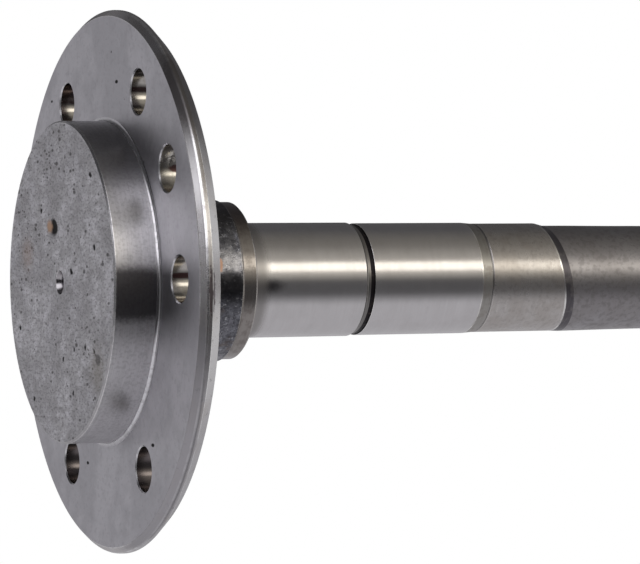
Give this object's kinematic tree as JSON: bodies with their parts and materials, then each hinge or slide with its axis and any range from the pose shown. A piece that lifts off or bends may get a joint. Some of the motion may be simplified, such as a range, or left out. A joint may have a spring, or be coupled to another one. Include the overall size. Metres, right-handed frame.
{
  "type": "rear axle shaft",
  "caption": "Forged and turned steel axle shaft with a drilled wheel flange, a solid hub pilot, ground seal and bearing seats and a splined inner end.",
  "frame": {"origin": "centre of the flat outer face of the hub pilot, which the shaft stands on", "axes": "+Z along the shaft's axis from the pilot face towards the splined inner end, +X through the first wheel stud hole"},
  "size_m": [0.179, 0.1788, 0.78],
  "materials": {
    "machined_steel": "turned and ground steel with dark forging scale between the machined zones"
  },
  "bodies": {
    "root": {"axle_shaft": "machined_steel"}
  },
  "joints": []
}
